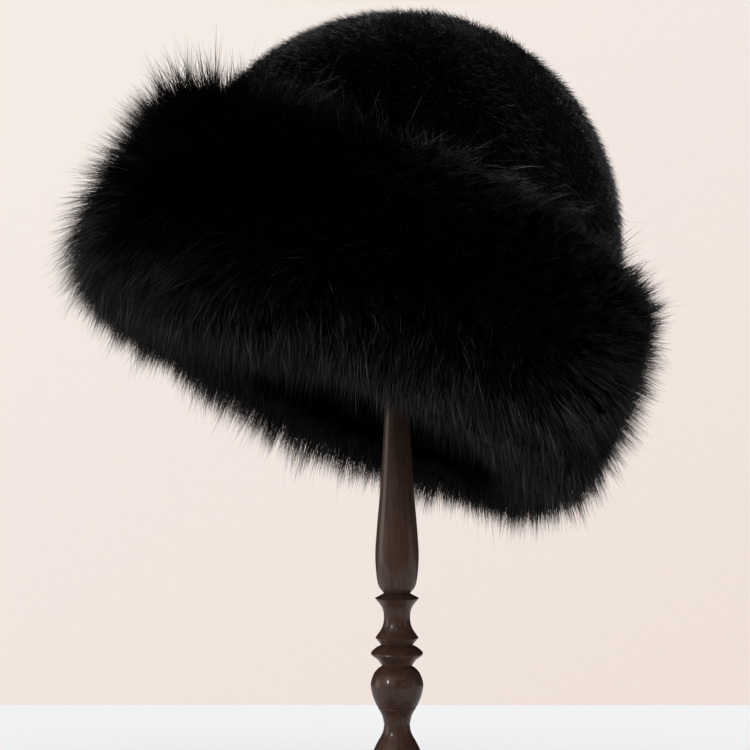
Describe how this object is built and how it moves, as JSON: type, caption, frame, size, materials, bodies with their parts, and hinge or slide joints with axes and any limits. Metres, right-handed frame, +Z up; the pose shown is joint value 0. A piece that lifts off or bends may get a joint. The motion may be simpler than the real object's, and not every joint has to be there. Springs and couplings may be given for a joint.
{
  "type": "fur hat on a turned wooden hat stand",
  "caption": "Black fur winter hat with a domed crown and a deep long-haired cuff, resting tilted on a turned wooden stand with a round foot.",
  "frame": {"origin": "middle of the underside of the stand's foot", "axes": "+Z up along the post, -Y towards the viewer who faces the hat, +X to the side that the crown leans to"},
  "size_m": [0.279, 0.2984, 0.3895],
  "materials": {
    "short_pile": "short dense black imitation fur pile, soft sheen",
    "long_fur": "long loose black imitation fur, glossy fibres",
    "dark_wood": "very dark brown stained and varnished wood, half gloss"
  },
  "bodies": {
    "root": {"crown": "short_pile", "fur_cuff": "long_fur", "stand_cap": "dark_wood", "stand_post": "dark_wood", "stand_foot": "dark_wood"}
  },
  "joints": []
}
